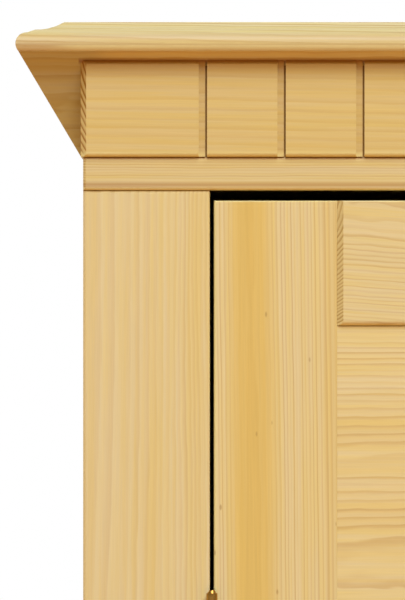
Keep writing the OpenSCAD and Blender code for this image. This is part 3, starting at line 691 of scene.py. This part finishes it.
@dataclass(frozen=True)
class MetalFinish:
    """A worked metal with fine scratches."""

    colour: Colour
    dark: Colour
    roughness: float
    scratches: Triple = (3.0, 3.0, 0.25)  # to a millimetre
    clouds: Triple = (0.15, 0.15, 0.15)
    cloud_edge: Pair = (0.35, 0.7)  # noise at which the darker tone starts and is full
    scratch_rough: float = 0.18  # how far scratches change the roughness
    bump_mm: float = 0.01

    def material(self, name: str) -> bpy.types.Material:
        """Makes the metal.

        Args:
            name: The material's name.

        Returns:
            The material.
        """
        graph = Graph(bpy.data.materials.new(name))
        scratch = graph.noise(graph.scaled_place(self.scratches), detail=3.0, rough=0.6)
        cloud = graph.noise(graph.scaled_place(self.clouds))
        return graph.surface({
            "Base Color": graph.mix(cloud.ease(*self.cloud_edge), self.colour, self.dark),
            "Metallic": 1.0,
            "Roughness": self.roughness + self.scratch_rough * (scratch - 0.5),
            "Normal": graph.bump(scratch, self.bump_mm),
        })


@dataclass(frozen=True)
class PlasticFinish:
    """Moulded plastic with a fine grain in its skin."""

    colour: Colour
    roughness: float
    grain: Triple = (2.0, 2.0, 2.0)  # to a millimetre
    darkest: float = 0.9  # share of the colour's lightness in the grain
    grain_rough: float = 0.1  # how far the grain changes the roughness
    bump_mm: float = 0.02

    def material(self, name: str) -> bpy.types.Material:
        """Makes the plastic.

        Args:
            name: The material's name.

        Returns:
            The material.
        """
        graph = Graph(bpy.data.materials.new(name))
        skin = graph.noise(graph.scaled_place(self.grain))
        shade = tuple(self.darkest * channel for channel in self.colour)
        return graph.surface({
            "Base Color": graph.mix(skin, self.colour, shade),
            "Roughness": self.roughness + self.grain_rough * (skin - 0.5),
            "Normal": graph.bump(skin, self.bump_mm),
        })


@dataclass(frozen=True)
class GlassFinish:
    """Clear float glass, faintly green, that mirrors more at a flat angle."""

    tint: Colour = (0.72, 0.86, 0.82)
    clear_alpha: float = 0.1
    mirror_alpha: float = 0.85
    index: float = 1.5
    mirror_index: float = 1.45  # index behind the change from clear to mirror
    roughness: float = 0.03
    wave_rough: float = 0.03  # how much rougher it gets in its waves
    waves: Triple = (0.004, 0.004, 0.004)  # to a millimetre

    def material(self, name: str) -> bpy.types.Material:
        """Makes the glass.

        Args:
            name: The material's name.

        Returns:
            The material.
        """
        graph = Graph(bpy.data.materials.new(name))
        mirror = graph.node("ShaderNodeFresnel", None, {"IOR": self.mirror_index})
        wave = graph.noise(graph.scaled_place(self.waves), detail=1.0)
        return graph.surface({
            "Base Color": (*self.tint, 1.0),
            "Roughness": self.roughness + self.wave_rough * wave,
            "IOR": self.index,
            "Alpha": Num(graph, mirror.outputs[0]).ease(0.0, 1.0, self.clear_alpha, self.mirror_alpha),
        })


@dataclass
class Workshop:
    """Dresses CAD nodes and keeps count of them."""

    pine: PineFinish = field(default_factory=PineFinish)
    dressed: list[str] = field(default_factory=list)

    def dress(self, node: str, material: bpy.types.Material) -> None:
        """Gives a node its material.

        Args:
            node: The node's name.
            material: The material.
        """
        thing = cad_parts[node]
        if not thing.material_slots:
            thing.data.materials.append(material)
        for material_slot in thing.material_slots:
            material_slot.material = material
        self.dressed.append(node)
        LOG.info("dressed %s in %s", node, material.name)

    def board(self, node: str, sawn: Sawn) -> None:
        """Gives a wooden node its own piece of wood."""
        self.dress(node, self.pine.material(node, sawn))


@dataclass
class Crown:
    """The moulded top board, the flared boards under it and the grooved frieze."""

    shop: Workshop
    rings: float = 2.2  # usual distance between rings, in millimetres

    def build(self) -> None:
        """Dresses every board of the crown."""
        board = self.shop.board
        board("crown_top_board", Sawn(
            Grain.ACROSS, (-190, -34), 2.6, drift=(0.0, -0.022), contrast=0.85, glow=0.2,
            hue=(0.86, 0.8, 0.74),
            # painted shade: darker bands across the nose's upper part and along its lower edge; painted
            # light: a paler band on its downward-facing lower part
            painted_bands=(
                PaintedBand(8.3, 3.4, 0.2),
                PaintedBand(14.3, 3.5, 1.0, PAINTED_LIGHT, short=14, fade=1),
                PaintedBand(12.9, 0.8, 0.25)),
            seed=1.3))
        board("crown_front_flare", Sawn(
            Grain.ACROSS, (40, 30), 1.9, glow=0.9, hue=(0.97, 1.0, 1.0),
            # painted shade: a dark band where the flare meets the frieze's top, and its ends beside the
            # frieze painted darker
            painted_bands=(PaintedBand(5.3, 2.4, short=33),), shaded_ends=33, seed=2.1))
        for side, seed in (("left", 3.3), ("right", 4.7)):
            board(f"crown_side_flare_{side}", Sawn(
                # the darker tint is partly a darker board and partly painted shade under the crown
                Grain.DEPTH, (60, 70), self.rings, contrast=0.4, hue=(0.7, 0.78, 0.78), seed=seed))
        board("crown_back_rail", Sawn(Grain.ACROSS, (12, 70), self.rings, tone=0.93, seed=5.9))
        board("crown_glue_blocks", Sawn(Grain.ACROSS, (55, 25), self.rings, tone=0.93, seed=6.4))
        board("frieze_board", Sawn(
            Grain.ACROSS, (-150, 52), 2.1, drift=(0.0, -0.01), ripple=0.35, contrast=0.22, crisp=0.5,
            hue=(0.93, 0.87, 0.72), glow=0.45, butt=1.5, groove=1.75,
            # painted shade: a dark band along its top and the crown's soft shadow below it, and darker
            # grooves; painted light: a paler band on its rounded bottom edge
            painted_bands=(PaintedBand(0, 2.2), PaintedBand(3.5, 7.5, 0.25), PaintedBand(51.2, 3.2, 0.8, PAINTED_LIGHT)), seed=7.7))


@dataclass
class Carcass:
    """Top and bottom panels, sides, face frame, back boards and plinth."""

    shop: Workshop
    back_boards: int = 4
    stile_top_shade: PaintedBand = PaintedBand(0, 1.8, 0.45)  # painted shade under the top panel

    def build(self) -> None:
        """Dresses every board of the carcass."""
        board = self.shop.board
        board("top_panel", Sawn(
            Grain.ACROSS, (-195, 60), 1.6, crisp=0.5, glow=0.3, hue=(0.95, 0.93, 0.88),
            # painted shade: under the frieze and in a band above its lower edge; painted light: a paler band
            # along that lower edge
            painted_bands=(PaintedBand(0, 2.2, 0.5), PaintedBand(15.1, 2.4, 0.5), PaintedBand(17.4, 1.4, 0.6, PAINTED_LIGHT)), seed=8.8))
        board("bottom_panel", Sawn(Grain.ACROSS, (-195, -62), 1.9, contrast=0.45, glow=0.4, seed=9.1))
        board("face_stile_left", Sawn(
            Grain.UPRIGHT, (-148, 26), 4.2, slowing=0.003, drift=(0.006, 0.0), wander=2.6, ripple=1.3,
            contrast=0.3, crisp=0.1, glow=0.35, butt=0.35, painted_bands=(self.stile_top_shade,), seed=10.2))
        board("face_stile_right", Sawn(
            Grain.UPRIGHT, (120, 40), 3.0, contrast=0.4, crisp=0.35, glow=0.4, painted_bands=(self.stile_top_shade,),
            seed=11.6))
        for number in range(1, self.back_boards + 1):
            board(f"back_board_{number}", Sawn(
                Grain.UPRIGHT, (22 * number - 50, 60), 3.0, contrast=0.45, tone=0.95,
                seed=14.1 + 1.7 * number))
        board("wall_fixing_rail", Sawn(Grain.ACROSS, (40, 22), 2.4, tone=0.95, seed=22.2))
        board("plinth_front", Sawn(Grain.ACROSS, (46, 18), 2.3, contrast=0.4, seed=23.4))
        board("plinth_back", Sawn(Grain.ACROSS, (-50, 22), 2.5, tone=0.95, seed=24.4))
        for sign, side in ((-1, "left"), (1, "right")):
            board(f"side_panel_{side}", Sawn(
                Grain.UPRIGHT, (48 * sign, 20), 2.6, contrast=0.4, stave=78, joint=11, step=61,
                seed=12.5 + sign))
            board(f"plinth_side_{side}", Sawn(
                Grain.DEPTH, (52 * sign, 14), 2.4, contrast=0.4, seed=25.3 + sign))
        board("carcass_dowels", Sawn(Grain.UPRIGHT, (260, 150), 1.6, tone=0.95, seed=27.0))


@dataclass
class Shelving:
    """Shelves, their pins, and the magnetic catches."""

    shop: Workshop
    count: int = 4

    def build(self, steel: bpy.types.Material, plastic: bpy.types.Material) -> None:
        """Dresses the shelves and what holds them and the doors.

        Args:
            steel: The material of the pins.
            plastic: The material of the catches.
        """
        for number in range(1, self.count + 1):
            self.shop.board(f"shelf_{number}", Sawn(
                Grain.ACROSS, (20 * number - 60, -55), 2.6, contrast=0.4, seed=30.7 + 2.3 * number))
        self.shop.dress("shelf_pins", steel)
        self.shop.dress("magnetic_catches", plastic)


@dataclass
class Door:
    """One framed door with its wooden panels, glass, knob and fittings."""

    shop: Workshop
    side: str
    seed: float

    def name(self, piece: str) -> str:
        """The node's name of one of the door's pieces."""
        return f"{self.side}_door_{piece}"

    def build(self, brass: bpy.types.Material, steel: bpy.types.Material, glass: bpy.types.Material) -> None:
        """Dresses the door.

        Args:
            brass: The material of the hinge leaves.
            steel: The material of the screws and the catch plate.
            glass: The material of the glass.
        """
        seed = self.seed
        out, outer = (1, Side.RIGHT) if self.side == "right" else (-1, Side.LEFT)
        boards = {
            "hinge_stile": Sawn(
                Grain.UPRIGHT, (4.0 * out, 17), 0.66, slowing=-0.01745, drift=(0.012 * out, 0.0), wander=0.7,
                ripple=0.15, contrast=0.6, glow=0.3, heartwood=28.8, hue=(1.01, 1.0, 0.96), butt=0.35,
                # painted highlight: a paler band along the door's outer rounded edge
                painted_bands=(PaintedBand(0.3, 2.0, 1.0, PAINTED_LIGHT, outer),), specks=0.5, seed=seed + 0.3),
            "meeting_stile": Sawn(
                Grain.UPRIGHT, (-9 * out, 31), 1.7, contrast=0.45, glow=0.45, seed=seed + 1.7),
            "top_rail": Sawn(
                Grain.ACROSS, (58, 30), 1.3, drift=(0.0, -0.07), wander=0.8, contrast=0.45, glow=0.35,
                butt=0.75, seed=seed + 2.9),
            "upper_panel": Sawn(
                Grain.ACROSS, (52, 16), 2.2, tone=1.03, glow=0.35, stave=82, joint=18.8, step=45,
                seed=seed + 7.7),
            "lower_panel": Sawn(
                Grain.ACROSS, (45, 34), 2.4, contrast=0.45, glow=0.4, stave=88, joint=-31, step=57,
                seed=seed + 9.0),
            "glazing_beads": Sawn(Grain.UPRIGHT, (30, 40), 2.4, seed=seed + 10.9),
            "knob": Sawn(Grain.DEPTH, (22, 18), 2.4, tone=0.97, seed=seed + 12.0),
        }
        for index, rail in enumerate(("upper_rail", "lower_rail", "bottom_rail")):
            heart = (46 - 8 * index, 9 * index - 12)
            boards[rail] = Sawn(Grain.ACROSS, heart, 1.5, contrast=0.4, seed=seed + 4.1 + index)
        for piece, sawn in boards.items():
            self.shop.board(self.name(piece), sawn)
        fittings = {"glass": glass, "hinge_leaves": brass, "screws": steel, "catch_plate": steel}
        for piece, material in fittings.items():
            self.shop.dress(self.name(piece), material)


@dataclass(frozen=True)
class Lamp:
    """A square soft light. Lengths are in metres."""

    name: str
    place: Triple
    size: float  # length of its side
    power: float  # in watts
    colour: Colour = (1.0, 0.9, 0.8)

    def hang(self, aim: Triple) -> None:
        """Adds the light to the scene.

        Args:
            aim: The point it shines at.
        """
        data = bpy.data.lights.new(self.name, "AREA")
        data.size = self.size
        data.energy = self.power
        data.color = self.colour
        lamp = bpy.data.objects.new(self.name, data)
        lamp.location = self.place
        lamp.rotation_euler = (Vector(aim) - Vector(self.place)).to_track_quat("-Z", "Y").to_euler()
        bpy.context.collection.objects.link(lamp)
        LOG.info("lit %s", self.name)


@dataclass
class Studio:
    """Camera, lights and floor. Lengths are in metres."""

    px_per_m: float = 1852.0  # the photograph's scale
    aim_px: Pair = (202.5, 300.0)  # middle of the photograph
    stile_px: float = 83.0  # left edge of the face frame in the photograph
    crown_px: float = 21.0  # top of the crown in the photograph, as seen at the frieze's distance
    distance: float = 4.0  # from the camera to the frieze
    sensor: float = 36.0  # the camera's, in millimetres
    sight: float = 100.0  # how far the camera sees
    key_aim: Triple = (-0.2, -0.18, 1.5)
    key_angles: Pair = (15.0, 53.0)  # degrees to the right of the front, and above the horizon
    key_distance: float = 8.0
    key_size: float = 5.0
    key_power: float = 650.0  # in watts
    lamp_aim: Triple = (0.0, 0.2, 1.0)
    lamps: tuple[Lamp, ...] = (
        Lamp("left_back", (-3.4, 1.6, 3.0), 1.8, 90.0),
        Lamp("right_back", (3.0, 2.4, 3.2), 1.8, 75.0),
        Lamp("right", (5.0, 1.2, 2.0), 2.4, 85.0))
    sky: float = 0.36  # brightness of the sky overhead
    sky_start: Pair = (0.45, 0.8)  # sines of the heights where the sky starts and is full
    horizon: float = 0.05  # sine of the depth below the horizon at which the bounced light is full
    bounce: Colour = (0.87, 0.4, 0.133)  # light thrown back by the floor
    bounce_all: float = 0.68  # share of it that comes from every side
    bounce_front: float = 0.42  # further share that comes from the front and is missing behind
    floor_size: float = 40.0
    floor_clouds: Triple = (0.002, 0.002, 1.0)  # to a millimetre
    floor_shades: tuple[Colour, Colour] = (linear(190, 189, 187), linear(182, 181, 179))
    floor_light: Colour = linear(236, 235, 233)
    floor_glow: float = 0.5  # keeps the far floor pale
    floor_roughness: float = 0.8
    floor_gloss: float = 0.1

    def camera(self) -> None:
        """Sets a long lens square to the cabinet's top left corner, as in the photograph."""
        stile_low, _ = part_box("face_stile_left")
        frieze_low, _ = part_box("frieze_board")
        _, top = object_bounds()
        x = stile_low.x + (self.aim_px[0] - self.stile_px) / self.px_per_m
        z = top.z - (self.aim_px[1] - self.crown_px) / self.px_per_m
        data = bpy.data.cameras.new("camera")
        data.sensor_width = self.sensor
        data.lens = self.sensor * self.distance * self.px_per_m / max(PHOTO_SIZE)
        data.clip_end = self.sight
        camera = bpy.data.objects.new("camera", data)
        camera.location = (x, frieze_low.y - self.distance, z)
        camera.rotation_euler = (math.radians(90), 0.0, 0.0)
        bpy.context.collection.objects.link(camera)
        bpy.context.scene.camera = camera

    def lights(self) -> None:
        """Hangs a soft white key above on the right, and weaker warm lamps for the back and right side."""
        turn, rise = (math.radians(angle) for angle in self.key_angles)
        toward = Vector((math.sin(turn) * math.cos(rise), -math.cos(turn) * math.cos(rise), math.sin(rise)))
        place = Vector(self.key_aim) + self.key_distance * toward
        Lamp("key", tuple(place), self.key_size, self.key_power, WHITE).hang(self.key_aim)
        for lamp in self.lamps:
            lamp.hang(self.lamp_aim)

    def world(self) -> None:
        """Makes a white backdrop for the camera, and around it the light of a room.

        That light is a sky that starts well above the horizon, and below the horizon the warm light that a
        room's floor throws back.
        """
        world = bpy.data.worlds.new("studio")
        graph = Graph(world)
        _, depth, height = graph.coordinates("Generated")
        sky = height.ease(*self.sky_start, 0.0, self.sky)
        below = height.fall(-self.horizon, 0.0)
        warm = self.bounce_all - self.bounce_front * depth
        floor = graph.vector(*(warm * channel for channel in self.bounce))
        light = graph.mix(below, graph.vector(sky, sky, sky), floor)
        lit = graph.node("ShaderNodeBackground", None, {"Color": light, "Strength": 1.0})
        white = graph.node("ShaderNodeBackground", None, {"Color": (*WHITE, 1.0), "Strength": 1.0})
        rays = graph.node("ShaderNodeLightPath")
        both = graph.node("ShaderNodeMixShader", None, {
            0: rays.outputs["Is Camera Ray"], 1: lit.outputs[0], 2: white.outputs[0]})
        graph.node("ShaderNodeOutputWorld", None, {"Surface": both.outputs[0]})
        bpy.context.scene.world = world
        bpy.context.scene.view_settings.view_transform = "Standard"

    def floor(self) -> None:
        """Lays a plain pale floor. It lets light through: what it would throw back comes from the world."""
        half = self.floor_size / 2
        mesh = bpy.data.meshes.new("floor")
        rim = [(-half, -half, 0.0), (half, -half, 0.0), (half, half, 0.0), (-half, half, 0.0)]
        mesh.from_pydata(rim, [], [(0, 1, 2, 3)])
        floor = bpy.data.objects.new("floor", mesh)
        floor.visible_diffuse = False
        floor.visible_shadow = False
        bpy.context.collection.objects.link(floor)
        graph = Graph(bpy.data.materials.new("floor"))
        cloud = graph.noise(graph.scaled_place(self.floor_clouds))
        mesh.materials.append(graph.surface({
            "Base Color": graph.mix(cloud, *self.floor_shades),
            "Roughness": self.floor_roughness,
            "Specular IOR Level": self.floor_gloss,
            "Emission Color": (*self.floor_light, 1.0),
            "Emission Strength": self.floor_glow,
        }))
        floor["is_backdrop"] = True

    def build(self) -> None:
        """Sets up everything that isn't part of the cabinet."""
        self.camera()
        self.lights()
        self.world()
        self.floor()


def main() -> None:
    """Builds the studio and dresses the cabinet, sub-assembly by sub-assembly."""
    logging.basicConfig(level=logging.INFO, format="%(name)s: %(message)s")
    Studio().build()
    shop = Workshop()
    brass = MetalFinish(linear(204, 160, 82), linear(150, 112, 52), 0.34).material("brass")
    steel = MetalFinish(linear(196, 197, 200), linear(150, 151, 154), 0.32).material("steel")
    plastic = PlasticFinish(linear(236, 231, 220), 0.5).material("plastic")
    glass = GlassFinish().material("glass")
    Crown(shop).build()
    Carcass(shop).build()
    Shelving(shop).build(steel, plastic)
    for side, seed in (("left", 40.0), ("right", 60.0)):
        Door(shop, side, seed).build(brass, steel, glass)
    shop.dress("hinge_pins", brass)
    shop.dress("frame_hinge_leaves", brass)
    shop.dress("frame_screws", steel)
    LOG.info("dressed %d of %d nodes", len(shop.dressed), len(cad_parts))


if __name__ == "__main__":
    main()
